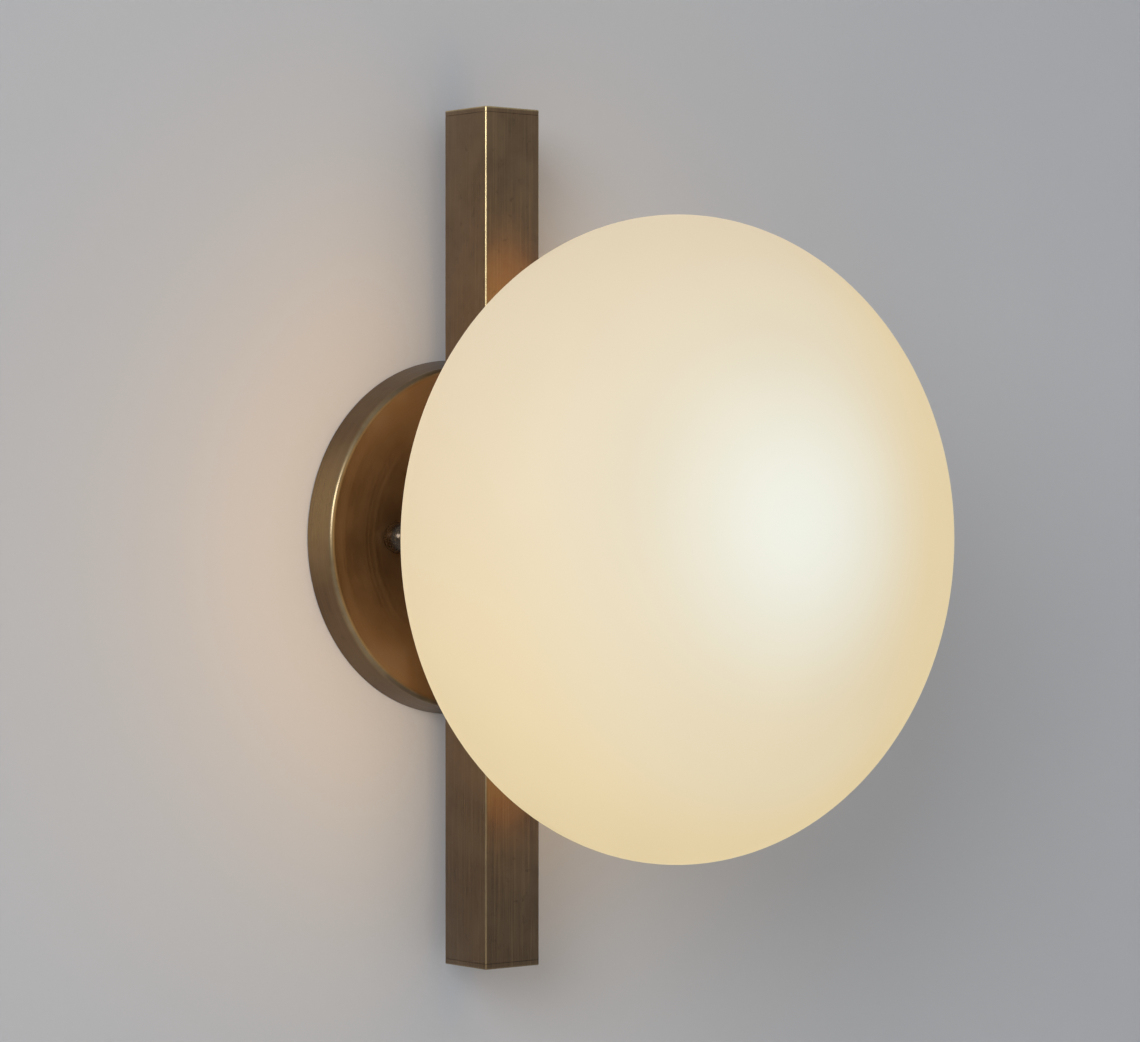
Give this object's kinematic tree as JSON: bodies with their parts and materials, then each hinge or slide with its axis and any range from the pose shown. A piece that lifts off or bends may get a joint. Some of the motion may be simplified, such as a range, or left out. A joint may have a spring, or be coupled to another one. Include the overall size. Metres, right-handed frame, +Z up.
{
  "type": "wall sconce",
  "caption": "Wall sconce: upright square brass bar on a round canopy, with a large flattened opal glass shade in front of it, held on a gallery cup around a screw-base lamp.",
  "frame": {"origin": "centre of the canopy's back rim, on the wall plane", "axes": "+Z up along the bar, +Y into the wall, so the light stands out along -Y; +X to the right as seen from the room"},
  "size_m": [0.2247, 0.2, 0.315],
  "materials": {
    "antique_brass": "bronzed, brushed",
    "zinc_steel": "zinc plated",
    "yellow_brass": "bare",
    "opal_glass": "glossy opal, lit from inside",
    "lamp_globe": "frosted, lit",
    "lamp_white": "satin",
    "nickel": "nickel plated",
    "black_glass": "gloss",
    "ceramic": "glazed",
    "gasket": "matt silicone",
    "wire_black": "satin",
    "wire_white": "satin",
    "wire_green": "satin",
    "green_screw": "green dyed zinc",
    "connector_orange": "satin"
  },
  "bodies": {
    "frame": {"wall_plate": "zinc_steel", "ground_screw": "green_screw", "mounting_studs": "zinc_steel", "stud_nuts": "zinc_steel", "canopy": "antique_brass", "bar_tube": "antique_brass", "bar_cap_top": "antique_brass", "bar_cap_bottom": "antique_brass", "bar_sleeve": "zinc_steel", "bar_screws": "zinc_steel", "threaded_nipple": "zinc_steel", "rear_nut": "yellow_brass", "earth_tag": "yellow_brass", "standoff_collar": "antique_brass", "front_washer": "zinc_steel", "front_nut": "yellow_brass", "gallery_cup": "antique_brass", "neck_gasket": "gasket", "holder_strap": "zinc_steel", "holder_screws": "zinc_steel", "holder_body": "ceramic", "holder_shell": "yellow_brass", "holder_contact": "yellow_brass", "holder_terminals": "yellow_brass", "lead_live": "wire_black", "lead_neutral": "wire_white", "earth_lead": "wire_green", "wire_nut_live": "connector_orange", "wire_nut_neutral": "connector_orange"},
    "shade": {"glass_shade": "opal_glass"},
    "lamp": {"bulb_globe": "lamp_globe", "bulb_housing": "lamp_white", "bulb_cap": "nickel", "bulb_insulator": "black_glass", "bulb_contact": "nickel"},
    "screw_top": {"thumbscrew_top": "antique_brass"},
    "screw_left": {"thumbscrew_left": "antique_brass"},
    "screw_right": {"thumbscrew_right": "antique_brass"},
    "nut_left": {"cap_nut_left": "antique_brass"},
    "nut_right": {"cap_nut_right": "antique_brass"}
  },
  "joints": [
    {"name": "shade_pull", "type": "slide", "parent": "frame", "child": "shade", "axis": [0, -1, 0], "range_m": [0, 0.13]},
    {"name": "lamp_turn", "type": "hinge", "parent": "frame", "child": "lamp", "pos_m": [0, -0.08, 0], "axis": [0, -1, 0], "continuous": true},
    {"name": "screw_top_turn", "type": "hinge", "parent": "frame", "child": "screw_top", "pos_m": [0, -0.06178, 0.046], "axis": [0, 0, 1], "continuous": true},
    {"name": "screw_left_turn", "type": "hinge", "parent": "frame", "child": "screw_left", "pos_m": [-0.03984, -0.06178, -0.023], "axis": [-0.866, 0, -0.5], "continuous": true},
    {"name": "screw_right_turn", "type": "hinge", "parent": "frame", "child": "screw_right", "pos_m": [0.03984, -0.06178, -0.023], "axis": [0.866, 0, -0.5], "continuous": true},
    {"name": "nut_left_turn", "type": "hinge", "parent": "frame", "child": "nut_left", "pos_m": [-0.035, -0.015, 0], "axis": [0, -1, 0], "continuous": true},
    {"name": "nut_right_turn", "type": "hinge", "parent": "frame", "child": "nut_right", "pos_m": [0.035, -0.015, 0], "axis": [0, -1, 0], "continuous": true}
  ]
}
